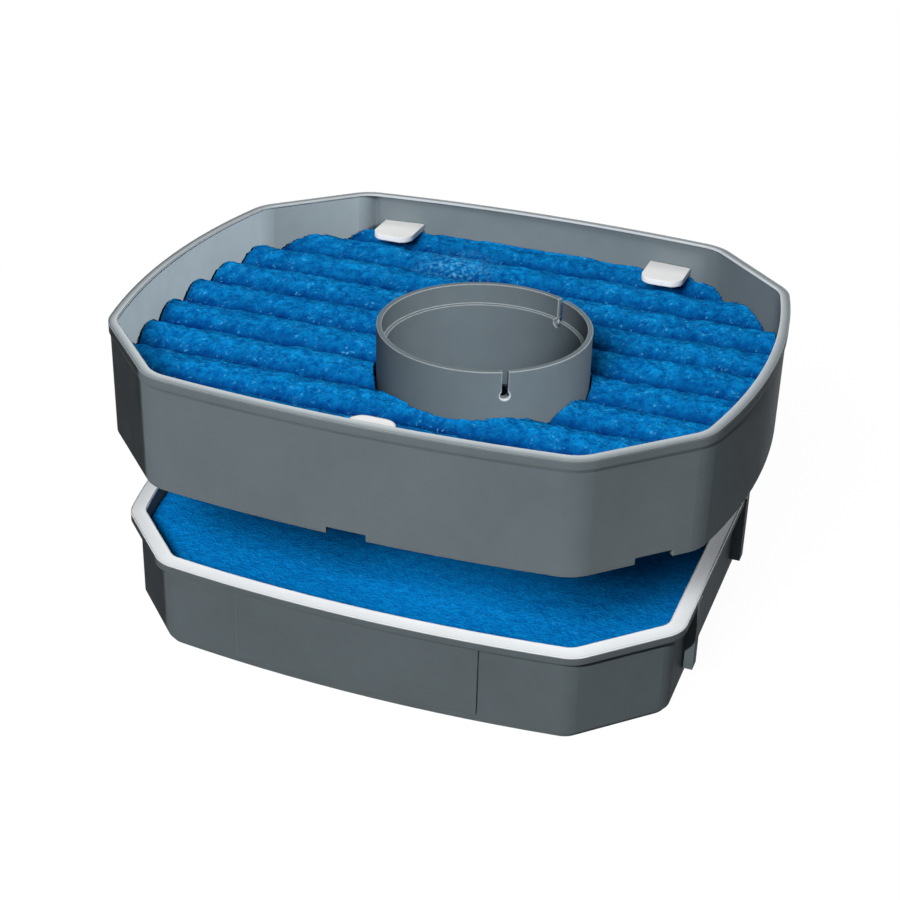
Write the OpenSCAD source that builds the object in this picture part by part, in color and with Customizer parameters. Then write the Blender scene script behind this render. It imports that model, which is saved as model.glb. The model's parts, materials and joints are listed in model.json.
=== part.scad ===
// Two-tray basket of a canister filter, with the upper tray lifted off the lower one.
// Millimetres, Z up. The origin is under the middle of the lower tray, on the surface it stands on.
// X runs along the tray, +X towards the flat end with the guide lugs. The front side is -Y.

/* [Tray outline] */
// Length of the upper tray over its bulged ends
tray_length = 215; // [190:1:240]
// Width of the upper tray over its bulged long sides
tray_width = 185; // [165:1:210]
// How far the ends bulge past their corners
end_bulge = 7.5; // [3:0.5:12]
// How far the long sides bulge past their corners
side_bulge = 4.5; // [2:0.5:8]
// Leg of the 45 degree cut across each corner
corner_cut = 30.5; // [22:0.5:38]
// Radius of the upright edges, at the outline
corner_round = 16; // [12:0.5:18]
// How much smaller the lower tray's rim is, all round
lower_inset = 4; // [3.5:0.1:6]
// How much shorter the lower tray's rim is at its flat end
flat_cut = 10; // [9.5:0.5:18]

/* [Walls] */
// Wall thickness of both trays
wall = 2.2; // [1.6:0.1:3]
// Floor thickness of both trays
floor_t = 2.2; // [1.6:0.1:4]
// How far the lower tray's flange stands out past its wall
flange_out = 3.2; // [1.5:0.1:4.5]
// Thickness of that flange
flange_t = 2.4; // [1.5:0.1:4]
// How far the plinth under the lower tray steps in
plinth_in = 1.2; // [0.5:0.1:3]
// Height of that plinth
plinth_h = 1.6; // [0.8:0.1:2.2]

/* [Heights] */
// Height of the lower tray with its seal
lower_h = 33.2; // [28:0.2:45]
// Height of the upper tray with its seal
upper_h = 39.3; // [34:0.1:55]
// Gap between the lower seal and the upper tray, as lifted
lift_gap = 30.2; // [10:0.2:50]
// Depth of the upper tray's skirt below its floor
skirt_h = 4.8; // [3.5:0.1:8]
// Thickness of that skirt
skirt_t = 1.4; // [1:0.1:1.5]
// Clearance round the lower rim's corner cuts, where the skirt passes over them
skirt_gap = 0.3; // [0.2:0.1:2]
// Height of both rim seals
seal_h = 0.8; // [0.6:0.1:2]
// Size of the step along each seal's top edges
seal_step = 0.3; // [0.2:0.1:0.4]
// Height of the bead round the upper tray, under its seal
bead_h = 3.4; // [1.5:0.1:5]
// Height of the step along the bead's lower edge
bead_step = 0.7; // [0.3:0.1:1]
// Width of the upper rim seal
upper_seal_w = 3.2; // [2.6:0.1:4.5]

/* [Foam pads] */
// Height of the coarse pad at its ridges
coarse_h = 19.8; // [16:0.2:24]
// Depth of the grooves between its ridges
groove_d = 5; // [3:0.1:7]
// Distance from ridge to ridge
ridge_pitch = 19.2; // [12:0.2:26]
// Where one groove runs, from the middle of the tray
groove_y = 1; // [-8:0.5:8]
// Height of the fine pad
fine_h = 26; // [18:0.2:26]
// Gap between a pad and the walls round it
foam_gap = 0.3; // [0.2:0.1:1]

/* [Riser collar] */
// Outer radius of the collar
collar_r = 35; // [28:0.5:40]
// Wall thickness of the collar below its socket
collar_wall = 3; // [2.4:0.1:4]
// Radius of the socket in the collar's mouth
socket_r = 33.3; // [26.5:0.1:38.5]
// Depth of that socket
socket_d = 7; // [4:0.5:10]
// How far the collar stands above the upper rim
collar_proud = 2; // [0:0.5:8]
// Place of the collar along the tray
collar_x = 15; // [-20:0.5:25]
// Place of the collar across the tray
collar_y = -16; // [-22:0.5:22]
// Width of the seat flange at the collar's foot
collar_foot_w = 4; // [2.5:0.5:6]
// Height of that flange
collar_foot_h = 1.8; // [1:0.1:3]
// Clearance round the collar's foot and the clips' roots, where they seat
seat_gap = 0.05; // [0.02:0.01:0.1]
// Width of the collar's spring slits
slit_w = 2; // [1:0.1:3]
// Depth of the slits to the middle of their round foot
slit_d = 8; // [5:0.5:14]
// Radius of the round foot of each slit
slit_foot_r = 1.5; // [1.1:0.1:2.5]
// Angle of each slit from the tray's long axis
slit_angle = 60; // [35:1:80]

/* [Foam clips] */
// Width of a clip
clip_w = 15.5; // [10:0.5:20]
// Reach of the two rear clips from the wall
clip_reach = 16; // [10:0.5:20]
// Reach of the front clip from the wall
front_clip_reach = 22; // [12:0.5:26]
// Thickness of a clip's plate
clip_t = 2.1; // [1.4:0.1:3]
// Each rear clip's distance from the tray's end
clip_in = 55; // [46:0.5:64]
// Offset of the pair of rear clips along the tray
clip_shift = -1; // [-6:0.5:6]
// Front clip, from the middle of the tray
front_clip_x = -1; // [-20:0.5:20]
// Radius of the two corners at a clip's tip
clip_round = 5; // [2:0.5:6]
// How deep a clip's root sits in the wall
clip_root = 1; // [0.5:0.1:1.2]

/* [Floor slots] */
// Width of a floor slot
slot_w = 6; // [3:0.5:8]
// Bar between two rows of slots
slot_bar = 5; // [3:0.5:9]
// Length of a slot
slot_l = 36; // [20:1:60]
// Rib between two slots in a row
slot_rib = 6; // [4:0.5:12]
// Closed border of the floor inside the wall
floor_border = 6; // [4:0.5:12]

/* [Lower tray details] */
// Left edge of the raised front panel
panel_left = -43; // [-60:1:-10]
// Right edge of the raised front panel
panel_right = 40; // [10:1:60]
// How far the panel stands out of the front wall
panel_out = 1.1; // [0.5:0.1:1.4]
// How far the panel ends above the surface the tray stands on
panel_lift = 4; // [2:0.5:10]
// Guide lugs, each way from the middle of the flat end
lug_y = 36; // [15:0.5:48]
// Width of a guide lug
lug_w = 5; // [3:0.5:12]
// How far a lug stands out past the flange
lug_out = 0.6; // [0.2:0.1:4]
// How far a lug ends above the surface the tray stands on
lug_lift = 6.5; // [3:0.5:15]

/* [Skirt notches] */
// Width of a notch in the skirt
notch_w = 13; // [8:0.5:20]
// Depth of a notch in the skirt
notch_d = 2.2; // [1:0.1:3]
// Place of the corner notch, from the middle of the corner cut towards the end
corner_notch_at = 14; // [-14:0.5:14]

/* [Hidden] */

grey = [0.42, 0.46, 0.47];
pale = [0.86, 0.87, 0.87];
coarse_blue = [0.03, 0.46, 0.78];
fine_blue = [0.02, 0.40, 0.72];

arc_fn = 360;        // facets of the long tray arcs
round_fn = 96;       // facets of the collar
small_fn = 32;       // facets of small rounds
over = 1;            // how far a cut runs past what it cuts
round_over = 0.02;   // how far a corner's round stands past its two sides, so that it crosses them

// The outline's corners and the radii of its bulged sides
corner_x = tray_length / 2 - end_bulge;
corner_y = tray_width / 2 - side_bulge;
side_half = corner_x - corner_cut;
end_half = corner_y - corner_cut;
side_r = (side_half * side_half + side_bulge * side_bulge) / (2 * side_bulge);
end_r = (end_half * end_half + end_bulge * end_bulge) / (2 * end_bulge);
cut_reach = (corner_x + end_half) / sqrt(2);

// Insets of the upper tray's faces from the outline
upper_wall_in = (upper_seal_w - wall) / 2;
upper_inner = upper_wall_in + wall;
// Insets of the lower tray's faces from the outline
lower_wall_in = lower_inset + flange_out;
lower_inner = lower_wall_in + wall;

// Levels of the lower tray
lower_wall_top = lower_h - seal_h;
fine_top = floor_t + fine_h;
// Levels of the upper tray
upper_z = lower_h + lift_gap;
upper_floor_z = upper_z + skirt_h;
pad_z = upper_floor_z + floor_t;
coarse_top = pad_z + coarse_h;
upper_top = upper_z + upper_h;
upper_wall_top = upper_top - seal_h;
collar_top = upper_top + collar_proud;
clip_z = coarse_top + foam_gap;
bore_r = collar_r - collar_wall;
collar_foot_r = collar_r + collar_foot_w;
// A ridge is part of a round whose chord is the pitch and whose rise is the groove's depth
ridge_r = (ridge_pitch * ridge_pitch / 4 + groove_d * groove_d) / (2 * groove_d);
slot_pitch_y = slot_w + slot_bar;
slot_pitch_x = slot_l + slot_rib;

// A tray's shape is [flat, cut]: a plane at flat less the inset ends it at +X, unless its arc
// there is shorter, and its corner cuts are inset by cut less than its sides
cut_out = lower_inset - upper_wall_in - skirt_t - skirt_gap;
upper_shape = [tray_length, 0];
lower_shape = [tray_length / 2 - flat_cut + lower_inset, cut_out];

// Whether a shape ends in a plane at +X
function is_flat(shape) = shape.x < tray_length / 2;

// Where an arc of radius r about [0, y], moved inwards by the edges' radius, meets the corner cut
function arc_end(y, r, shape) =
    let (far = cut_reach + shape.y - corner_round - y / sqrt(2),
         along = sqrt(pow(r - corner_round, 2) - far * far))
    [(far - along) / sqrt(2), y + (far + along) / sqrt(2)];

// Half the width of the outline at a place x along the tray
function side_y(x, inset) = sqrt(pow(side_r - inset, 2) - x * x) - side_r + tray_width / 2;

// Whether a point is at least inset inside the outline
function inside(x, y, inset, shape) =
    (abs(x) + abs(y)) / sqrt(2) < cut_reach + shape.y - inset
    && norm([x, abs(y) + side_r - tray_width / 2]) < side_r - inset
    && norm([abs(x) + end_r - tray_length / 2, y]) < end_r - inset
    && x < shape.x - inset;

// The trays' outline, moved inwards by inset, with its corners rounded
module outline(inset, shape) {
    side_middle = arc_end(tray_width / 2 - side_r, side_r, shape);
    side_angle = atan2(side_middle.y - tray_width / 2 + side_r, side_middle.x);
    end_swapped = arc_end(tray_length / 2 - end_r, end_r, shape);
    end_middle = [end_swapped.y, end_swapped.x];
    end_angle = atan2(end_middle.y, end_middle.x - tray_length / 2 + end_r);
    flat_x = shape.x - corner_round;
    flat_middle = [flat_x, (cut_reach + shape.y - corner_round) * sqrt(2) - flat_x];
    difference() {
        sharp_outline(inset, shape);
        for (x = [0, 1], y = [0, 1]) mirror([x, 0]) mirror([0, y]) {
            corner_waste(side_middle, side_angle, inset);
            if (x == 0 && is_flat(shape)) corner_waste(flat_middle, 0, inset);
            else corner_waste(end_middle, end_angle, inset);
        }
    }
}

// What rounding takes off one corner: the wedge round its middle, less the round.
// The wedge lies between the angle of the side's normal and the 45 degrees of the corner cut
module corner_waste(middle, angle, inset) {
    reach = 1.3 * corner_round;
    half = (angle + 45) / 2;
    translate(middle) difference() {
        polygon([[0, 0], reach * [cos(angle), sin(angle)], reach * [cos(half), sin(half)],
                 reach * [cos(45), sin(45)]]);
        circle(r = corner_round - inset + round_over, $fn = round_fn);
    }
}

// The outline with sharp corners: four long arcs, or three and a plane, and four 45 degree cuts
module sharp_outline(inset, shape) {
    arc_x = is_flat(shape) ? tray_length : tray_length / 2;
    intersection() {
        translate([0, side_r - tray_width / 2]) circle(r = side_r - inset, $fn = arc_fn);
        translate([0, tray_width / 2 - side_r]) circle(r = side_r - inset, $fn = arc_fn);
        translate([end_r - tray_length / 2, 0]) circle(r = end_r - inset, $fn = arc_fn);
        translate([arc_x - end_r, 0]) circle(r = end_r - inset, $fn = arc_fn);
        rotate(45) square(2 * (cut_reach + shape.y - inset), center = true);
        translate([shape.x - inset - tray_length, 0]) square([2 * tray_length, 2 * tray_width], center = true);
    }
}

// A prism of the outline that stands on level z
module prism(z, h, inset, shape) {
    translate([0, 0, z]) linear_extrude(h) outline(inset, shape);
}

// A band of the outline between two insets
module band(z, h, outer, inner, shape) {
    difference() {
        prism(z, h, outer, shape);
        prism(z - over, h + 2 * over, inner, shape);
    }
}

// A rim seal: a flat band with a step along both top edges
module rim_seal(z, outer, inner, shape) {
    band(z, seal_h - seal_step, outer, inner, shape);
    band(z, seal_h, outer + seal_step, inner - seal_step, shape);
}

// Rows of slots through a floor, where its border leaves room for a whole slot
module floor_slots(z, inset, shape) {
    border = inset + floor_border;
    rows = floor(tray_width / 2 / slot_pitch_y);
    columns = floor(tray_length / 2 / slot_pitch_x);
    for (row = [-rows : rows - 1], column = [-columns : columns - 1]) {
        x = (column + 0.5) * slot_pitch_x;
        y = (row + 0.5) * slot_pitch_y;
        far_x = x + sign(x) * slot_l / 2;
        far_y = y + sign(y) * slot_w / 2;
        if (inside(far_x, far_y, border, shape))
            translate([x - slot_l / 2, y - slot_w / 2, z - over])
                cube([slot_l, slot_w, floor_t + 2 * over]);
    }
}

module lower_tray() {
    wall_x = lower_shape.x - lower_wall_in;
    color(grey) difference() {
        union() {
            prism(0, plinth_h, lower_wall_in + plinth_in, lower_shape);
            prism(plinth_h, lower_wall_top - plinth_h, lower_wall_in, lower_shape);
            prism(lower_wall_top - flange_t, flange_t, lower_inset, lower_shape);
            front_panel();
            for (side = [-1, 1])
                translate([wall_x - over, side * lug_y - lug_w / 2, lug_lift])
                    cube([flange_out + lug_out + over, lug_w, lower_wall_top - lug_lift]);
        }
        prism(floor_t, lower_h, lower_inner, lower_shape);
        floor_slots(0, lower_inner, lower_shape);
    }
}

// The panel that stands out of the lower tray's front wall, below the flange
module front_panel() {
    intersection() {
        prism(panel_lift, lower_wall_top - flange_t - panel_lift, lower_wall_in - panel_out, lower_shape);
        translate([panel_left, -tray_width, 0]) cube([panel_right - panel_left, tray_width, lower_h]);
    }
}

module lower_rim_seal() {
    color(pale) rim_seal(lower_wall_top, lower_inset, lower_inner, lower_shape);
}

module fine_foam() {
    color(fine_blue) prism(floor_t, fine_h, lower_inner + foam_gap, lower_shape);
}

module upper_tray() {
    color(grey) difference() {
        union() {
            band(upper_z, upper_wall_top - upper_z, upper_wall_in, upper_inner, upper_shape);
            band(upper_wall_top - bead_h, bead_h, upper_wall_in / 2, upper_inner, upper_shape);
            band(upper_wall_top - bead_h + bead_step, bead_h - bead_step, 0, upper_inner, upper_shape);
            prism(upper_floor_z, floor_t, upper_wall_in + wall / 2, upper_shape);
        }
        difference() {
            floor_slots(upper_floor_z, upper_inner, upper_shape);
            translate([collar_x, collar_y, upper_floor_z - 2 * over])
                cylinder(r = collar_foot_r, h = floor_t + 4 * over, $fn = round_fn);
        }
        translate([collar_x, collar_y, upper_floor_z - over])
            cylinder(r = collar_r + seat_gap, h = floor_t + 2 * over, $fn = round_fn);
        prism(upper_z - over, skirt_h + over, upper_wall_in + skirt_t, upper_shape);
        for (place = clip_places) clip_pocket(place);
        skirt_notches();
    }
}

// Notches in the skirt's lower edge, under the three clips and on the front right corner cut
module skirt_notches() {
    for (place = clip_places)
        translate([place.x - notch_w / 2, place.y < 0 ? -tray_width : 0, upper_z - over])
            cube([notch_w, tray_width, notch_d + over]);
    rotate(-45) translate([0, corner_notch_at - notch_w / 2, upper_z - over])
        cube([tray_width, notch_w, notch_d + over]);
}

module upper_rim_seal() {
    color(pale) rim_seal(upper_wall_top, 0, upper_seal_w, upper_shape);
}

// The collar: a tube seated in the upper tray's floor, with a socket in its mouth
module collar() {
    color(grey) translate([collar_x, collar_y, 0]) difference() {
        union() {
            translate([0, 0, upper_floor_z]) cylinder(r = collar_r, h = collar_top - upper_floor_z, $fn = round_fn);
            translate([0, 0, pad_z]) cylinder(r = collar_foot_r, h = collar_foot_h, $fn = round_fn);
        }
        translate([0, 0, upper_floor_z - over])
            cylinder(r = bore_r, h = collar_top - upper_floor_z + 2 * over, $fn = round_fn);
        translate([0, 0, collar_top - socket_d]) cylinder(r = socket_r, h = socket_d + over, $fn = round_fn);
        for (side = [-1, 1]) rotate(side * slit_angle) collar_slit();
    }
}

// One spring slit, cut outwards along X, with a round foot
module collar_slit() {
    translate([bore_r / 2, -slit_w / 2, collar_top - slit_d]) cube([collar_r, slit_w, slit_d + over]);
    translate([bore_r / 2, 0, collar_top - slit_d]) rotate([0, 90, 0])
        cylinder(r = slit_foot_r, h = collar_r, $fn = small_fn);
}

// The coarse pad: round ridges along X on a slab, with a hole for the collar
module coarse_foam() {
    ridges = ceil(tray_width / 2 / ridge_pitch) + 1;
    color(coarse_blue) difference() {
        intersection() {
            prism(pad_z, coarse_h, upper_inner + foam_gap, upper_shape);
            union() {
                translate([-tray_length, -tray_width, pad_z])
                    cube([2 * tray_length, 2 * tray_width, coarse_h - groove_d]);
                for (ridge = [-ridges : ridges])
                    translate([-tray_length, groove_y + (ridge + 0.5) * ridge_pitch, coarse_top - ridge_r])
                        rotate([0, 90, 0]) cylinder(r = ridge_r, h = 2 * tray_length, $fn = round_fn);
            }
        }
        translate([collar_x, collar_y, pad_z - over])
            cylinder(r = collar_r + foam_gap, h = coarse_h + 2 * over, $fn = round_fn);
        translate([collar_x, collar_y, pad_z - over])
            cylinder(r = collar_foot_r + foam_gap, h = collar_foot_h + foam_gap + over, $fn = round_fn);
    }
}

// A clip's place is [x, side, reach]: it reaches from the wall on that side towards the middle
clip_rear_left = [clip_shift + clip_in - tray_length / 2, 1, clip_reach];
clip_rear_right = [clip_shift + tray_length / 2 - clip_in, 1, clip_reach];
clip_front = [front_clip_x, -1, front_clip_reach];
clip_places = [clip_rear_left, clip_rear_right, clip_front];

// A clip's plate in plan, with round corners at its tip
module clip_plan(place) {
    tip_y = side_y(place.x, upper_inner) - place.z;
    translate([place.x, 0]) mirror([0, place.y < 0 ? 1 : 0]) union() {
        translate([-clip_w / 2, tip_y + clip_round]) square([clip_w, place.z]);
        translate([clip_round - clip_w / 2, tip_y]) square([clip_w - 2 * clip_round, place.z]);
        for (side = [-1, 1])
            translate([side * (clip_w / 2 - clip_round), tip_y + clip_round])
                circle(r = clip_round, $fn = small_fn);
    }
}

// A clip: the plate over the foam, whose root is held in a pocket in the wall
module clip(place) {
    color(pale) intersection() {
        translate([0, 0, clip_z]) linear_extrude(clip_t) clip_plan(place);
        prism(clip_z - over, clip_t + 2 * over, upper_inner - clip_root, upper_shape);
    }
}

// The pocket in the wall for a clip's root
module clip_pocket(place) {
    intersection() {
        prism(clip_z - seat_gap, clip_t + 2 * seat_gap, upper_inner - clip_root - seat_gap, upper_shape);
        translate([place.x - clip_w / 2 - seat_gap, place.y < 0 ? -tray_width : 0, upper_z])
            cube([clip_w + 2 * seat_gap, tray_width, upper_h]);
    }
}

module foam_clip_rear_left() {
    clip(clip_rear_left);
}

module foam_clip_rear_right() {
    clip(clip_rear_right);
}

module foam_clip_front() {
    clip(clip_front);
}

lower_tray();
lower_rim_seal();
fine_foam();
upper_tray();
upper_rim_seal();
collar();
coarse_foam();
foam_clip_rear_left();
foam_clip_rear_right();
foam_clip_front();
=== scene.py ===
# %% [markdown]
# # Dressing a two-tray filter basket
# The real object is a pair of moulded grey trays from a canister filter. The upper tray holds a ridged
# blue foam pad round a short collar, and it hovers above the lower tray, which holds a fine blue pad.
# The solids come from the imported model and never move. This lesson adds what solids can't have: the
# pores of the foam, the satin of the plastic, the soft light and the camera of the photograph.

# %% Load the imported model
import json
import math

import bmesh
import bpy
import numpy as np
from mathutils import Matrix, Vector
from mathutils.bvhtree import BVHTree

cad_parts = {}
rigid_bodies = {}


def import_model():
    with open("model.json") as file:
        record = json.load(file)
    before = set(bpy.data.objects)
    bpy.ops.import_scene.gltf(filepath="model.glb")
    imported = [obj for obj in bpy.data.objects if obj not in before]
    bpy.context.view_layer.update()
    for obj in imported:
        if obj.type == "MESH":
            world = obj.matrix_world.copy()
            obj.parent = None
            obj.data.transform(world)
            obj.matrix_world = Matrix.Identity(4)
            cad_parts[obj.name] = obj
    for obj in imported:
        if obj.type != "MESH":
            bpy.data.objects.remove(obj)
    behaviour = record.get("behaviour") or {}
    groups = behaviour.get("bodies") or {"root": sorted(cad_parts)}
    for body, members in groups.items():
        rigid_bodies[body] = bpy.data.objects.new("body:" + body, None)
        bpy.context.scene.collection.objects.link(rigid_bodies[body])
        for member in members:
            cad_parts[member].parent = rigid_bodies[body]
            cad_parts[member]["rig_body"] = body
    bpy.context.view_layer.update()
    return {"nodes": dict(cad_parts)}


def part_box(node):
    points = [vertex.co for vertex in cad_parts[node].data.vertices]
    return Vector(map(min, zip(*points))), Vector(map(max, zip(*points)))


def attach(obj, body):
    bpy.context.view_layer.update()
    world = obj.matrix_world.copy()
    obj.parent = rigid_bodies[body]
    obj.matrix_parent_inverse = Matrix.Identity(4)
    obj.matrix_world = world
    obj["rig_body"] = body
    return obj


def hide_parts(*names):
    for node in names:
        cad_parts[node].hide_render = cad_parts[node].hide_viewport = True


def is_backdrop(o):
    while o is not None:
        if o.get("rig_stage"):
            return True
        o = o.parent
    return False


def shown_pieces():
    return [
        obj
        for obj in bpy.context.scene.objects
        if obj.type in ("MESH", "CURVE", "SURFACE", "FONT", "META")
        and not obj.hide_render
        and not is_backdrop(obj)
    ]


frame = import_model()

nodes = frame["nodes"]

# %% [markdown]
# ## The camera
# The photograph was taken from the front, a little to the right and well above the rim. Its place was
# solved from the corners of both trays, so it is written as a direction, a distance and a point aimed
# at. Blender's own tracking helpers would lose the small roll, so the three axes are worked out here.

# %% Put up the camera
AIM = Vector((-0.0008, -0.0015, 0.0481))
AZIMUTH, ELEVATION, ROLL = (math.radians(a) for a in (19.63, 28.52, 1.71))
DISTANCE = 0.6129
SENSOR = 36.0
LENS = 70.57
FRAME_W = FRAME_H = 900


def level_axes(azimuth, elevation):
    """Right, up and back of something level that looks at the object from a direction."""
    out_x, out_y = math.sin(azimuth), -math.cos(azimuth)
    axis_back = Vector((out_x * math.cos(elevation), out_y * math.cos(elevation), math.sin(elevation)))
    axis_right = Vector((math.cos(azimuth), math.sin(azimuth), 0))
    return axis_right, axis_back.cross(axis_right), axis_back


level_right, level_up, back = level_axes(AZIMUTH, ELEVATION)
right = level_right * math.cos(ROLL) + level_up * math.sin(ROLL)
up = level_up * math.cos(ROLL) - level_right * math.sin(ROLL)
turned = Matrix((right, up, back)).transposed().to_4x4()

camera_data = bpy.data.cameras.new("photo_camera")
camera_data.sensor_fit = "AUTO"
camera_data.sensor_width = SENSOR
camera_data.lens = LENS
camera_data.clip_start, camera_data.clip_end = 0.05, 50
camera = bpy.data.objects.new("photo_camera", camera_data)
camera.matrix_world = Matrix.Translation(AIM + back * DISTANCE) @ turned
bpy.context.scene.collection.objects.link(camera)
bpy.context.scene.camera = camera
print("camera at", [round(c, 3) for c in camera.matrix_world.translation])

# %% [markdown]
# ## Points read off the photograph
# These are the only numbers taken from the picture: where its corners and small features show, in
# pixels of the 900 by 900 frame. The first group is the object's outermost edges. At the end the script
# writes how far each thing shows from its point, so that a slip in the camera can't go unseen.

# %% Name the image points
EDGE_POINTS = {"left": 110, "right": 793, "top": 194, "bottom": 741}
CORNER_POINTS = {
    "upper_rim_front_left": (148, 375),
    "upper_rim_front_right": (583, 461),
    "upper_rim_right": (713, 435),
    "upper_rim_rear_right": (718, 246),
    "upper_rim_rear_left": (366, 194),
    "lower_rim_left": (129, 511),
    "lower_rim_front_left": (160, 560),
    "lower_rim_front_right": (573, 658),
    "lower_rim_right": (680, 634),
}
FEATURE_POINTS = {
    "collar_front_slit": (504, 394),
    "rear_left_clip": (399, 231),
    "rear_right_clip": (665, 268),
    "foam_fluff": (458, 262),
}


def shown_at(place):
    """Where a place in the model shows, in pixels of the photograph's frame."""
    seen = camera.matrix_world.inverted() @ Vector(place)
    scale = max(FRAME_W, FRAME_H) * LENS / SENSOR / -seen.z
    return Vector((FRAME_W / 2 + seen.x * scale, FRAME_H / 2 - seen.y * scale))


print("the aim shows at", [round(c, 1) for c in shown_at(AIM)])

# %% [markdown]
# ## From a pixel back to a surface
# To set a small thing on a surface where the photograph shows it, a ray goes out through its pixel and
# meets the finished mesh. A search tree of that mesh finds the place quickly, and a ray that misses
# takes the place nearest to it.


# %% One ray function for everything that is added
def mesh_tree(piece):
    """The search tree of a piece as finished and placed."""
    return BVHTree.FromObject(piece, bpy.context.evaluated_depsgraph_get())


def place_on(tree, x, y):
    """The place on a piece's surface that shows at this pixel."""
    long_side = max(FRAME_W, FRAME_H)
    ray = Vector((
        x - FRAME_W / 2 + camera_data.shift_x * long_side,
        FRAME_H / 2 - y + camera_data.shift_y * long_side,
        -long_side * LENS / SENSOR,
    ))
    start = camera.matrix_world.translation
    direction = (camera.matrix_world.to_3x3() @ ray).normalized()
    hit = tree.ray_cast(start, direction)[0]
    if hit is None:
        middle = start + direction * DISTANCE
        hit = tree.find_nearest(middle)[0]
    return hit


# %% [markdown]
# ## Sums with shader sockets
# A material is a net of nodes, and most of them only add and multiply. This small class holds one
# socket, and turns a Python expression such as `1 - mask * 0.3` into Math nodes, so that the recipe of
# a finish can be read as a line of arithmetic. Vectors get Vector Math, because a Math node would turn
# them grey. Every other node comes from one method of the finish.


# %% A socket that can be added and multiplied
class Level:
    """The output socket of a node, as a value or a vector to do sums with."""

    def __init__(self, finish, socket):
        self.finish = finish
        self.socket = socket

    def _sum(self, operation, first, second):
        parts = [p for p in (first, second) if isinstance(p, Level)]
        vector = any(p.socket.type == "VECTOR" for p in parts)
        kind = "ShaderNodeVectorMath" if vector else "ShaderNodeMath"
        if vector:
            first, second = (p if isinstance(p, Level) else (p, p, p) for p in (first, second))
        return self.finish.node(kind, {"operation": operation}, {0: first, 1: second})

    def __add__(self, other):
        return self._sum("ADD", self, other)

    def __sub__(self, other):
        return self._sum("SUBTRACT", self, other)

    def __rsub__(self, other):
        return self._sum("SUBTRACT", other, self)

    def __mul__(self, other):
        return self._sum("MULTIPLY", self, other)

    def kept_between(self, low, high):
        """This value stretched so that low becomes 0 and high becomes 1, and cut off there."""
        return self.finish.node(
            "ShaderNodeMapRange", {"clamp": True}, {"Value": self, "From Min": low, "From Max": high}
        )


# %% [markdown]
# A finish is one material, or the world, with its node net. The method `node` adds any node. It sets the
# node's own settings first, because they can change which sockets the node has, and then its sockets, by
# name or number, from plain values or from other sockets. A net ends in a shader: `principled` ends it
# in a Principled one, which is what every piece of the object has.


# %% A finish builds one material
class Finish:
    """One material, or the world, and its node net."""

    def __init__(self, name, kind="Material"):
        self.kind = kind
        self.block = (bpy.data.worlds if kind == "World" else bpy.data.materials).new(name)
        self.block.use_nodes = True
        self.tree = self.block.node_tree
        self.tree.nodes.clear()

    def node(self, kind, settings=None, sockets=None, out=0):
        """Adds a node: settings first, then its sockets. Returns the output named or numbered by out."""
        made = self.tree.nodes.new(kind)
        for name, value in (settings or {}).items():
            setattr(made, name, value)
        for key, value in (sockets or {}).items():
            self.feed(made.inputs[key], value)
        return Level(self, made.outputs[out])

    def feed(self, socket, value):
        """Sets a socket to a plain value, or links it."""
        if isinstance(value, Level):
            self.tree.links.new(value.socket, socket)
        else:
            socket.default_value = value

    def place(self):
        """The place on the piece, in metres, which moves with it."""
        return self.node("ShaderNodeTexCoord", out="Object")

    def noise(self, grain, detail=3.0, roughness=0.5, at=None):
        """Soft noise from 0 to 1 whose blotches are about grain metres across."""
        return self.node(
            "ShaderNodeTexNoise",
            {"noise_dimensions": "3D"},
            {"Vector": at or self.place(), "Scale": 1 / grain, "Detail": detail, "Roughness": roughness},
        )

    def bubbles(self, at, size, out):
        """A pattern of round cells about size metres across: Distance to a cell's middle, or its Color."""
        return self.node("ShaderNodeTexVoronoi", {"feature": "F1"}, {"Vector": at, "Scale": 1 / size}, out)

    def blend(self, factor, first, second):
        """A colour that goes from first to second."""
        return self.node(
            "ShaderNodeMix", {"data_type": "RGBA"}, {"Factor": factor, "A": first, "B": second}, out=2
        )

    def away_from(self, spot):
        """How far the place is from a spot, in metres."""
        measure = {"operation": "DISTANCE"}
        return self.node("ShaderNodeVectorMath", measure, {0: self.place(), 1: spot}, out="Value")

    def seen_straight(self):
        """1 for rays from the camera, through glass or off gloss, and 0 for light that bounces dully."""
        rays = ("Is Camera Ray", "Is Glossy Ray", "Is Transmission Ray")
        from_camera, off_gloss, through = (self.node("ShaderNodeLightPath", out=ray) for ray in rays)
        return (from_camera + off_gloss + through).kept_between(0, 1)

    def dull(self, level):
        """A dull grey surface of this level."""
        return self.node("ShaderNodeBsdfDiffuse", None, {"Color": grey(level)})

    def glowing(self, level):
        """A surface that glows at this level, and gets no light."""
        return self.node("ShaderNodeEmission", None, {"Color": grey(1), "Strength": level})

    def mixed(self, factor, first, second):
        """A shader that goes from first to second."""
        return self.node("ShaderNodeMixShader", None, {0: factor, 1: first, 2: second})

    def bump(self, height, depth, normal=None):
        """A normal that follows height, which is depth metres deep."""
        sockets = {"Height": height, "Distance": depth, "Strength": 1.0}
        if normal:
            sockets["Normal"] = normal
        return self.node("ShaderNodeBump", None, sockets)

    def ending_in(self, shader):
        """Ends the net in a shader, and returns the material or world."""
        end = self.tree.nodes.new("ShaderNodeOutput" + self.kind)
        self.tree.links.new(shader.socket, end.inputs["Surface"])
        return self.block

    def principled(self, sockets):
        """Ends the net in a Principled shader, and returns the material."""
        return self.ending_in(self.node("ShaderNodeBsdfPrincipled", None, sockets))


def grey(level):
    """A grey as a light value from 0 to 1."""
    return (level, level, level, 1.0)


def colour(red, green, blue):
    """A colour given as it looks on screen, from 0 to 255, as the light values that shaders use."""
    lit = [c / 255 for c in (red, green, blue)]
    return (*(c / 12.92 if c <= 0.04045 else ((c + 0.055) / 1.055) ** 2.4 for c in lit), 1.0)


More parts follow.
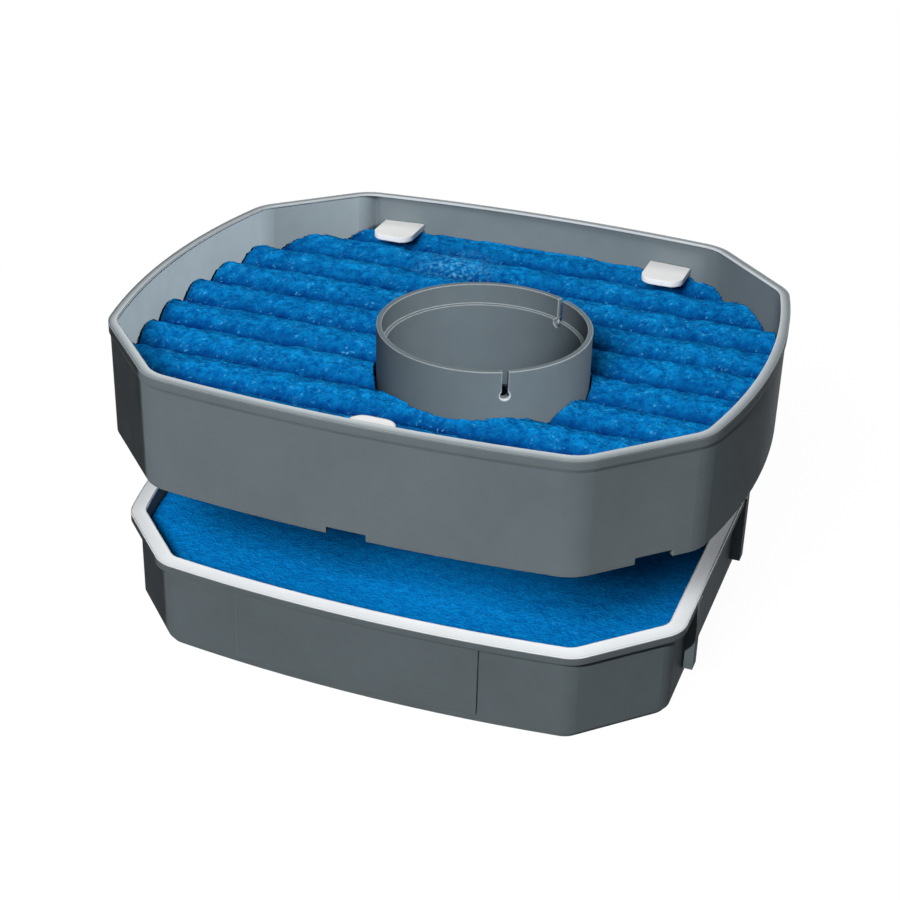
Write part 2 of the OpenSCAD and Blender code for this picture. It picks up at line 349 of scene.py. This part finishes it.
print("tray grey:", [round(c, 3) for c in colour(96, 105, 109)])

# %% [markdown]
# ## The grey of the trays
# The trays are injection moulded in a cool grey plastic with a satin skin. Up close such a skin has a
# fine spark-eroded grain and faint cloudy patches where the melt flowed, and its edges are a little
# rounded. A Bevel node rounds the look of the edges without touching the solid, and the angle between
# its normal and the true one marks where those edges are. There the colour is painted paler, a painted
# highlight, and a thin smooth coat is added. At the foot of each of the collar's two slits a near-white
# spot is painted, a painted highlight where the slit's end catches the light.

# %% Mould the grey plastic
FLOW_PATCH, FLOW_STREAK, PATCH_SHADE = 0.028, 0.006, 0.07
GRAIN_DEPTH = 0.06
# Painted highlight: a near-white spot round the foot of each slit of the collar, fading between two distances.
SLIT_HIGHLIGHT = colour(226, 230, 231)
SLIT_HIGHLIGHT_FROM, SLIT_HIGHLIGHT_TO = 0.0011, 0.0021


def moulded_plastic(name, base, edge, roughness, grain, edge_radius, outer=None, highlight_spots=()):
    """Satin moulded plastic: grain, flow patches, and rounded edges with a smooth coat and a painted highlight.

    An outer colour is a painted shade for a piece whose vertices say how far outward they lie: the colour
    fades to it outwards. Each spot is a place in metres, round which a painted highlight turns the plastic near
    white.
    """
    finish = Finish(name)
    rounded = finish.node("ShaderNodeBevel", {"samples": 6}, {"Radius": edge_radius})
    true_normal = finish.node("ShaderNodeNewGeometry", out="Normal")
    compare = {"operation": "DOT_PRODUCT"}
    alike = finish.node("ShaderNodeVectorMath", compare, {0: rounded, 1: true_normal}, out="Value")
    # Painted highlight: where the Bevel normal parts from the true one, the paler edge colour is mixed in and a
    # thin coat is added.
    painted_highlight = (1 - alike).kept_between(0.02, 0.30)
    clouds = finish.noise(FLOW_PATCH, detail=4.0)
    streaks = finish.noise(FLOW_STREAK, detail=2.0)
    patches = clouds * 0.7 + streaks * 0.3
    darker, lighter = ((*(c * (1 + shade) for c in base[:3]), 1.0) for shade in (-PATCH_SHADE, PATCH_SHADE))
    body = finish.blend(patches.kept_between(0.32, 0.68), darker, lighter)
    # Painted shade: outwards the colour fades to the outer colour, as on the side of a rolled lip turned from
    # the light.
    if outer:
        outward = finish.node("ShaderNodeAttribute", {"attribute_name": "outward"}, out="Fac")
        body = finish.blend(outward, body, outer)
    # Painted highlight: round each spot the colour turns near white, with a ragged edge.
    for spot in highlight_spots:
        ragged = finish.away_from(spot) + (streaks - 0.5) * 0.0008
        body = finish.blend(1 - ragged.kept_between(SLIT_HIGHLIGHT_FROM, SLIT_HIGHLIGHT_TO), body, SLIT_HIGHLIGHT)
    skin = finish.noise(grain, detail=2.0)
    # The edge colour mixed in here is a painted highlight along the rounded edges.
    return finish.principled({
        "Base Color": finish.blend(painted_highlight * 0.55, body, edge),
        "Roughness": (streaks - 0.5) * 0.16 + roughness,
        "Normal": finish.bump(skin, grain * GRAIN_DEPTH, rounded),
        "Specular IOR Level": 0.03,
        "Coat Weight": painted_highlight * 0.35,
        "Coat Roughness": 0.35,
    })


# The second colour of each finish is its painted highlight along the edges.
tray_grey = moulded_plastic(
    "tray_grey", colour(96, 105, 109), colour(160, 166, 168), roughness=0.62, grain=0.0006, edge_radius=0.0005
)

# %% Find the collar's slits, and give it its own grey
collar_low, collar_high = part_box("collar")
COLLAR_RADIUS, SLIT_DEPTH = 0.035, 0.008
SLIT_ANGLES = [math.radians(a) for a in (-60, 60)]
slit_feet = [
    Vector((
        (collar_low.x + collar_high.x) / 2 + COLLAR_RADIUS * math.cos(angle),
        (collar_low.y + collar_high.y) / 2 + COLLAR_RADIUS * math.sin(angle),
        collar_high.z - SLIT_DEPTH,
    ))
    for angle in SLIT_ANGLES
]
print("feet of the slits at", [[round(c * 1000, 1) for c in foot] for foot in slit_feet], "mm")
# The collar gets a near-white painted highlight along its edges and a painted highlight spot at the foot of
# each slit.
collar_grey = moulded_plastic(
    "collar_grey", colour(97, 108, 113), colour(226, 230, 231), roughness=0.58, grain=0.0006,
    edge_radius=0.0007, highlight_spots=[tuple(foot) for foot in slit_feet],
)

# %% [markdown]
# ## The pale seals and clips
# The seals on both rims are soft, the lower one nearly white and the upper one greyer, and both are
# painted greyer outwards, a painted shade on the side of their roll that turns from the light. The clips
# are a harder and smoother plastic.

# %% Pour the pale seals and clips
# Each outer colour is a painted shade on the outer side of a seal's roll.
seal_pale = moulded_plastic(
    "seal_pale", colour(226, 229, 231), colour(234, 236, 237), roughness=0.70, grain=0.0009,
    edge_radius=0.0005, outer=colour(206, 210, 212),
)
seal_greyed = moulded_plastic(
    "seal_greyed", colour(190, 197, 200), colour(206, 210, 211), roughness=0.70, grain=0.0009,
    edge_radius=0.0004, outer=colour(112, 121, 125),
)
clip_pale = moulded_plastic(
    "clip_pale", colour(226, 226, 225), colour(234, 234, 233), roughness=0.50, grain=0.0007, edge_radius=0.0008
)

for name, finish in {
    "lower_tray": tray_grey,
    "upper_tray": tray_grey,
    "collar": collar_grey,
    "foam_clip_rear_left": clip_pale,
    "foam_clip_rear_right": clip_pale,
    "foam_clip_front": clip_pale,
}.items():
    mesh = nodes[name].data
    mesh.materials.clear()
    mesh.materials.append(finish)
print("rigid pieces finished")

# %% [markdown]
# ## Pieces made from a solid
# Both the seals and the pads start from a copy of their solid, welded, and end as a new piece that rides
# on the solid's body and stands for it.


# %% Copy a solid, and put a piece in its place
def welded(node):
    """A welded copy of a node's mesh, to work on."""
    shell = bmesh.new()
    shell.from_mesh(nodes[node].data)
    bmesh.ops.remove_doubles(shell, verts=shell.verts, dist=1e-6)
    return shell


def into_mesh(shell, name):
    """The mesh that a worked copy becomes."""
    mesh = bpy.data.meshes.new(name)
    shell.to_mesh(mesh)
    shell.free()
    mesh.materials.clear()
    return mesh


def stand_in(name, node, mesh):
    """A new piece with this mesh that rides on a node's body and replaces the node."""
    piece = bpy.data.objects.new(name, mesh)
    bpy.context.scene.collection.objects.link(piece)
    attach(piece, nodes[node]["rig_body"])
    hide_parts(node)
    return piece


# %% [markdown]
# ## Rolled seals
# A seal's lip is highest along its inner edge and rolls down towards the outside, so from the front it
# shows as a pale line over a greyer roll, and across the tray it nearly hides behind its own edge. The
# solid has a flat top. A copy of it gets its outer top edge lowered, and each vertex keeps how far
# outward it lies, from 0 on the inner side to 1 on the outer side, for the finish to fade by: the finish
# paints the outer side greyer, a painted shade on the roll.


# %% Roll a seal's top outwards
def loops_of(edges):
    """The closed loops that some edges form, each as its set of vertices."""
    left, loops = set(edges), []
    while left:
        loop, front = set(), [left.pop()]
        while front:
            edge = front.pop()
            loop.update(edge.verts)
            joined = [e for v in edge.verts for e in v.link_edges if e in left]
            left.difference_update(joined)
            front += joined
        loops.append(loop)
    return loops


def rolled_seal(name, node, finish, drop):
    """A copy of a seal whose flat top falls by drop metres towards its outer edge."""
    shell = welded(node)
    outward = shell.verts.layers.float.new("outward")
    top = max(v.co.z for v in shell.verts)
    flat = {f for f in shell.faces if f.normal.z > 0.99 and min(v.co.z for v in f.verts) > top - 2e-5}
    loops = loops_of(e for e in shell.edges if sum(f in flat for f in e.link_faces) == 1)
    loops.sort(key=lambda loop: max(v.co.x for v in loop))
    inner, outer = loops[0], loops[-1]
    for vert in shell.verts:
        reach = [min((vert.co - v.co).xy.length for v in loop) for loop in (inner, outer)]
        vert[outward] = float(reach[1] < reach[0])
    for vert in outer:
        vert.co.z -= drop
    seal = stand_in(name, node, into_mesh(shell, name))
    seal.data.materials.append(finish)
    print(name, "has", len(loops), "loops round its top")
    return seal


SEAL_DROP = 0.0005
rolled_seal("lower_lip", "lower_rim_seal", seal_pale, SEAL_DROP)
rolled_seal("upper_lip", "upper_rim_seal", seal_greyed, SEAL_DROP)

# %% [markdown]
# ## Noise for shapes
# The foam needs real relief, not only a painted one, because its ragged edges stand against the grey
# walls. This is value noise: each point of a cubic lattice gets a fixed random number, and a place
# between them takes a smooth mix of the eight around it. It is seeded, so each run gives the same foam.


# %% Value noise on many places at once
TABLE_SIZE, ALL_POSITIVE = 1 << 16, 512
HASH_PRIMES = np.array([73856093, 19349663, 83492791])


def lumps(places, size, seed):
    """Noise from -1 to 1 at each place, whose lumps are about size metres across."""
    table = np.random.default_rng(seed).uniform(-1, 1, TABLE_SIZE)
    scaled = places / size + ALL_POSITIVE
    cell = np.floor(scaled).astype(np.int64)
    part = scaled - cell
    part = part * part * (3 - 2 * part)
    total = np.zeros(len(places))
    for corner in np.ndindex(2, 2, 2):
        key = (cell + corner) * HASH_PRIMES
        mixed = key[:, 0] ^ key[:, 1] ^ key[:, 2]
        share = np.where(corner, part, 1 - part).prod(axis=1)
        total += share * table[mixed & (TABLE_SIZE - 1)]
    return total


# %% [markdown]
# ## Foam pads
# A pad is cut from open-cell foam. Its solid is already in the model with its ridges and the hole for
# the collar, but with knife-sharp faces. A voxel remesh of a copy turns it into small even faces and
# softens its edges, and then every vertex sinks along its normal by noise of three sizes: swellings as
# wide as a fingertip, tears a third as wide, and pores as wide as a grain of sand. The sides sink less
# than the top, because the walls hold them. Vertices only ever move inwards, so the pad stays clear of
# the walls.


# %% Turn a plain solid into porous foam
TEAR_SIZE, SWELL_SIZE = 2.6, 7
SIDE_SINK = 0.25


def cut_small(node, name, voxel):
    """A mesh of a node's shape in small even faces."""
    block = bpy.data.objects.new(name + "_block", into_mesh(welded(node), name + "_block"))
    bpy.context.scene.collection.objects.link(block)
    remesh = block.modifiers.new("cut_small", "REMESH")
    remesh.mode = "VOXEL"
    remesh.voxel_size = voxel
    mesh = bpy.data.meshes.new_from_object(block.evaluated_get(bpy.context.evaluated_depsgraph_get()))
    bpy.data.objects.remove(block)
    mesh.name = name
    return mesh


def foam_pad(name, node, voxel, pore, pore_depth, tear_depth, swell_depth, seed):
    """A porous copy of a foam solid, as a new piece that stands for it."""
    mesh = cut_small(node, name, voxel)
    count = len(mesh.vertices)
    places, normals = np.zeros(count * 3), np.zeros(count * 3)
    mesh.vertices.foreach_get("co", places)
    mesh.vertex_normals.foreach_get("vector", normals)
    places, normals = places.reshape(-1, 3), normals.reshape(-1, 3)
    pores = lumps(places, pore, seed)
    tears = lumps(places, pore * TEAR_SIZE, seed + 1)
    swell = lumps(places, pore * SWELL_SIZE, seed + 2)
    sink = 0.5 * (pore_depth * (1 - pores) + tear_depth * (1 - tears) + swell_depth * (1 - swell))
    upright = SIDE_SINK + (1 - SIDE_SINK) * abs(normals[:, 2])
    places = places - normals * (sink * upright)[:, None]
    low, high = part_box(node)
    places = np.clip(places, np.array(low), np.array(high))
    mesh.vertices.foreach_set("co", places.ravel())
    mesh.shade_smooth()
    mesh.update()
    pad = stand_in(name, node, mesh)
    print(name, "has", count, "vertices")
    return pad


coarse_pad = foam_pad(
    "coarse_pad", "coarse_foam", voxel=0.0010, pore=0.0016,
    pore_depth=0.0009, tear_depth=0.0011, swell_depth=0.0007, seed=11,
)
fine_pad = foam_pad(
    "fine_pad", "fine_foam", voxel=0.0012, pore=0.0014,
    pore_depth=0.0003, tear_depth=0.0003, swell_depth=0.0003, seed=29,
)

# %% [markdown]
# ## The blue of the foam
# Foam shows three blues: the strands that catch the light, the pores between them, and the grooves, where
# the strands shade each other; the grooves' darker blue is a painted shade. Here and there a cut strand
# stands up and sparkles almost white. The pores are a Voronoi pattern, whose cells are round like
# bubbles. A pale streaky patch behind the collar is a painted highlight: its place comes from the
# photograph by a ray.

# %% Find the painted highlight's patch on the coarse pad
foam_highlight_spot = place_on(mesh_tree(coarse_pad), *FEATURE_POINTS["foam_fluff"])
print("rubbed patch at", [round(c * 1000, 1) for c in foam_highlight_spot], "mm")


# %% Colour the foam
TORN_SIZE, TORN_REACH = 0.0048, 0.0040
# Streak size and reach of the painted highlight on the coarse pad.
FOAM_HIGHLIGHT_STRAND, FOAM_HIGHLIGHT_FROM, FOAM_HIGHLIGHT_TO = 0.0014, 0.003, 0.018


def foam_blue(
    name, crest, pore_colour, strand, cell, sparkle, groove_shade=None, groove_shade_levels=None, foam_highlight_place=None
):
    """Open-cell foam: round dark pores between lit strands, painted shade in the grooves, a few pale strands
    and, if given, a painted highlight round one place.

    The cell is a pore's width in metres, the sparkle the share of cells with a pale strand, and the levels
    of the grooves' painted shade are the heights from which and up to which its colour gives way to the
    crest's.
    """
    finish = Finish(name)
    place = finish.place()
    wobble = finish.noise(cell * 2.2, detail=2.0, at=place)
    warped = place + (wobble - 0.5) * cell * 2.0
    lit = finish.bubbles(warped, cell, "Distance").kept_between(0.15, 0.85)
    mottled = finish.noise(cell * 2.6, detail=4.0, roughness=0.65, at=place)
    shade = (lit * 0.35 + mottled.kept_between(0.32, 0.68) * 0.65).kept_between(0.10, 0.90)
    surface = finish.blend(shade, pore_colour, crest)
    # Painted shade: low in the grooves the colour turns to a darker blue, along a torn edge.
    if groove_shade_levels:
        height = finish.node("ShaderNodeSeparateXYZ", None, {"Vector": place}, out="Z")
        torn = finish.noise(TORN_SIZE, detail=4.0, roughness=0.6, at=place)
        ragged = height + (torn - 0.5) * TORN_REACH
        surface = finish.blend(ragged.kept_between(*groove_shade_levels), groove_shade, surface)
    flecks = finish.bubbles(warped, cell * 0.55, "Color")
    chance = finish.node("ShaderNodeSeparateColor", None, {"Color": flecks}, out="Red")
    pale = chance.kept_between(1 - sparkle, 1 - sparkle * 0.2) * mottled.kept_between(0.42, 0.72) * 0.75
    # Painted highlight: near one place the colour turns pale in streaks.
    if foam_highlight_place:
        near = 1 - finish.away_from(foam_highlight_place).kept_between(FOAM_HIGHLIGHT_FROM, FOAM_HIGHLIGHT_TO)
        strands = finish.noise(FOAM_HIGHLIGHT_STRAND, detail=3.0, at=place).kept_between(0.45, 0.70)
        pale = pale + near * strands * 0.85
    return finish.principled({
        "Base Color": finish.blend(pale.kept_between(0, 1), surface, strand),
        "Roughness": 0.92 - lit * 0.08,
        "Normal": finish.bump(lit * 0.4 + mottled * 0.9, cell * 0.6),
        "Specular IOR Level": 0.02,
    })


GROOVE_DEPTH = 0.005
ridge_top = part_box("coarse_foam")[1].z
# The darker blue of the coarse pad's grooves is a painted shade.
coarse_pad.data.materials.append(foam_blue(
    "coarse_foam_blue", crest=colour(12, 144, 212), pore_colour=colour(0, 84, 152), strand=colour(84, 172, 220),
    cell=0.0012, sparkle=0.07, groove_shade=colour(0, 44, 106),
    groove_shade_levels=(ridge_top - GROOVE_DEPTH * 1.15, ridge_top - GROOVE_DEPTH * 0.10), foam_highlight_place=tuple(foam_highlight_spot),
))
fine_pad.data.materials.append(foam_blue(
    "fine_foam_blue", crest=colour(6, 134, 208), pore_colour=colour(0, 104, 182), strand=colour(70, 170, 225),
    cell=0.0010, sparkle=0.02,
))
print("foam coloured")

# %% [markdown]
# ## Floor
# The object stands on a pale floor. A camera sees it as nearly white, because it glows for camera rays
# and for reflections alone. Near the object a thin veil of grey on top takes the object's shadow. The
# light that bounces off the floor to the object is that of a plain dark grey. From below the floor is
# clear, and it stops no light, so that the underside can be looked at too. It lies a hair below the
# object's foot, and as a stage it isn't part of the object.


# %% Lay the floor
FLOOR_HALF, FLOOR_DROP = 6.0, -0.0002
FLOOR_BOUNCE, FLOOR_GLOW, FLOOR_VEIL = 0.08, 0.97, 0.045
VEIL_FROM, VEIL_TO = 0.16, 0.34


def floor_finish():
    """White to the camera and to reflections, a plain grey to the light, and clear from below."""
    finish = Finish("floor_white")
    near = finish.node("ShaderNodeAddShader", None, {0: finish.glowing(FLOOR_GLOW), 1: finish.dull(FLOOR_VEIL)})
    away = finish.away_from((0, 0, 0)).kept_between(VEIL_FROM, VEIL_TO)
    bright = finish.mixed(away, near, finish.glowing(1.0))
    upper_side = finish.mixed(finish.seen_straight(), finish.dull(FLOOR_BOUNCE), bright)
    from_below = finish.node("ShaderNodeNewGeometry", out="Backfacing")
    return finish.ending_in(finish.mixed(from_below, upper_side, finish.node("ShaderNodeBsdfTransparent")))


floor_mesh = bpy.data.meshes.new("floor")
floor_mesh.from_pydata(
    [(x * FLOOR_HALF, y * FLOOR_HALF, FLOOR_DROP) for x, y in ((-1, -1), (1, -1), (1, 1), (-1, 1))],
    [], [(0, 1, 2, 3)],
)
floor_mesh.materials.append(floor_finish())
floor = bpy.data.objects.new("floor", floor_mesh)
floor.visible_shadow = False
bpy.context.scene.collection.objects.link(floor)
floor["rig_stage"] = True
print("floor laid", FLOOR_DROP * 1000, "mm from the object's foot")

# %% [markdown]
# ## Lamps
# The photograph's light comes from above the front, but its walls and its foam aren't lit alike: the cut
# at the front left is nearly black, while the foam beside it is bright. So each group of pieces has
# lamps of its own, by light linking. The foam, the clips and the seals get a large soft lamp in front.
# The collar gets one from the front right. Small ones reach the inside of the left walls and the pale
# lip below the upper tray. A lamp behind and one below are for views from there.


# %% Hang the soft lamps
def soft_lamp(name, place, aim, size, watts):
    """A square area lamp at a place, turned to what it lights."""
    light = bpy.data.lights.new(name, "AREA")
    light.shape = "SQUARE"
    light.size = size
    light.energy = watts
    lamp = bpy.data.objects.new(name, light)
    lamp.location = place
    lamp.rotation_mode = "QUATERNION"
    lamp.rotation_quaternion = (Vector(aim) - Vector(place)).to_track_quat("-Z", "Y")
    lamp.visible_camera = False
    bpy.context.scene.collection.objects.link(lamp)
    return lamp


LAMPS = {
    "front_lamp": ((-0.050, -0.957, 0.772), (0, 0, 0.05), 0.45, 18.0),
    "back_lamp": ((0.10, 1.15, 0.45), (0, 0, 0.05), 0.45, 11.0),
    "collar_lamp": ((0.50, -0.80, 0.80), (0, 0, 0.08), 0.45, 20.0),
    "under_lamp": ((0, 0, -0.95), (0, 0, 0), 0.30, 8.0),
    "lip_lamp": ((0.90, -0.42, 0.46), (0.09, 0, 0.03), 0.30, 5.0),
    "top_lamp": ((-0.05, 0.35, 0.75), (0, 0.03, 0.08), 0.35, 1.3),
    "wall_lamp": ((0.100, 0.082, 0.200), (-0.103, 0.0, 0.095), 0.05, 1.7),
}
lamps = {name: soft_lamp(name, *facts) for name, facts in LAMPS.items()}
print("soft lamps:", ", ".join(lamps))

# %% [markdown]
# ## Beams for the trays
# Each tray gets a beam of nearly parallel light. Its section is a rectangle as wide as the lamp, and its
# left edge runs past the front left corner, so that the cut beyond it stays dark. A lamp whose light
# doesn't spread lights what faces it to a level of its watts by pi and its area.

# %% Hang the beams
BEAM_AZIMUTH, BEAM_ELEVATION = math.radians(-3), math.radians(37)
BEAM_LEFT, BEAM_RIGHT, BEAM_LOW, BEAM_HIGH = -0.069, 0.130, -0.075, 0.160
BEAM_FAR, BEAM_SPREAD = 0.32, math.radians(1)
BEAM_LEVELS = {"upper_beam": 1.30, "lower_beam": 0.92}
beam_right, beam_up, beam_back = level_axes(BEAM_AZIMUTH, BEAM_ELEVATION)
beam_middle = (
    beam_right * (BEAM_LEFT + BEAM_RIGHT) / 2 + beam_up * (BEAM_LOW + BEAM_HIGH) / 2 + beam_back * BEAM_FAR
)
beam_width, beam_height = BEAM_RIGHT - BEAM_LEFT, BEAM_HIGH - BEAM_LOW
for name, level in BEAM_LEVELS.items():
    watts = math.pi * level * beam_width * beam_height
    beam = soft_lamp(name, beam_middle, beam_middle - beam_back, beam_width, watts)
    beam.data.shape = "RECTANGLE"
    beam.data.size_y = beam_height
    beam.data.spread = BEAM_SPREAD
    lamps[name] = beam
    print(name, "has", round(watts, 3), "W")

# %% [markdown]
# A lamp's receivers are a collection of the pieces that it lights, or with "EXCLUDE" of those it doesn't.

# %% Say which lamp lights which piece
TRAYS = ["upper_tray", "lower_tray"]
for name, state, pieces in (
    ("wall_lamp", "INCLUDE", ["upper_tray"]),
    ("collar_lamp", "INCLUDE", ["collar"]),
    ("lip_lamp", "INCLUDE", ["lower_lip"]),
    ("under_lamp", "INCLUDE", ["lower_tray"]),
    ("upper_beam", "INCLUDE", ["upper_tray"]),
    ("lower_beam", "INCLUDE", ["lower_tray"]),
    ("back_lamp", "INCLUDE", TRAYS),
    ("front_lamp", "EXCLUDE", ["collar", *TRAYS]),
):
    receivers = bpy.data.collections.new(name + "_receivers")
    for piece in pieces:
        receivers.objects.link(bpy.data.objects[piece])
    for member in receivers.collection_objects:
        member.light_linking.link_state = state
    lamps[name].light_linking.receiver_collection = receivers
print("lamps linked")

# %% [markdown]
# ## World
# The background is white to the camera and to reflections, and the light from all round is a dim, even
# and faintly cool grey.

# %% Colour the world
DIM_LIGHT, WHITE = (0.07, 0.07, 0.074, 1.0), grey(1)
studio = Finish("studio", "World")
dim, white = (studio.node("ShaderNodeBackground", None, {"Color": tint}) for tint in (DIM_LIGHT, WHITE))
bpy.context.scene.world = studio.ending_in(studio.mixed(studio.seen_straight(), dim, white))
bpy.context.scene.view_settings.view_transform = "Standard"
print("lit")

# %% [markdown]
# ## Check the picture against its points
# A corner of a tray's outline is the vertex that lies furthest out in the direction between its two
# sides. Each corner, slit and clip is found in the finished meshes, shown through the camera and
# compared with its image point. The script only writes the differences down.


# %% Find what each point names
SAME_LEVEL = 0.0012


def corner(node, degrees):
    """The corner at the top of a node that lies furthest out in a direction."""
    co = np.array([v.co for v in nodes[node].data.vertices])
    co = co[co[:, 2] > co[:, 2].max() - SAME_LEVEL]
    way = np.array([math.cos(math.radians(degrees)), math.sin(math.radians(degrees))])
    return Vector(co[(co[:, :2] @ way).argmax()])


def middle_top(node):
    """The middle of a node's top face."""
    low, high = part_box(node)
    return Vector(((low.x + high.x) / 2, (low.y + high.y) / 2, high.z))


FOUND = {
    "upper_rim_front_left": corner("upper_rim_seal", 244),
    "upper_rim_front_right": corner("upper_rim_seal", 296),
    "upper_rim_right": corner("upper_rim_seal", 334),
    "upper_rim_rear_right": corner("upper_rim_seal", 64),
    "upper_rim_rear_left": corner("upper_rim_seal", 116),
    "lower_rim_left": corner("lower_rim_seal", 206),
    "lower_rim_front_left": corner("lower_rim_seal", 244),
    "lower_rim_front_right": corner("lower_rim_seal", 296),
    "lower_rim_right": corner("lower_rim_seal", 337),
    "collar_front_slit": slit_feet[0],
    "rear_left_clip": middle_top("foam_clip_rear_left"),
    "rear_right_clip": middle_top("foam_clip_rear_right"),
    "foam_fluff": foam_highlight_spot,
}
shown = []
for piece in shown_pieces():
    shown += [shown_at(piece.matrix_world @ v.co) for v in piece.data.vertices]
across, down = np.array([s.x for s in shown]), np.array([s.y for s in shown])
edges = {"left": across.min(), "right": across.max(), "top": down.min(), "bottom": down.max()}
offsets = {"object_" + side: round(float(edges[side] - EDGE_POINTS[side]), 1) for side in EDGE_POINTS}
for name, point in {**CORNER_POINTS, **FEATURE_POINTS}.items():
    at = shown_at(FOUND[name])
    offsets[name] = [round(at.x - point[0], 1), round(at.y - point[1], 1)]
print(json.dumps(offsets))
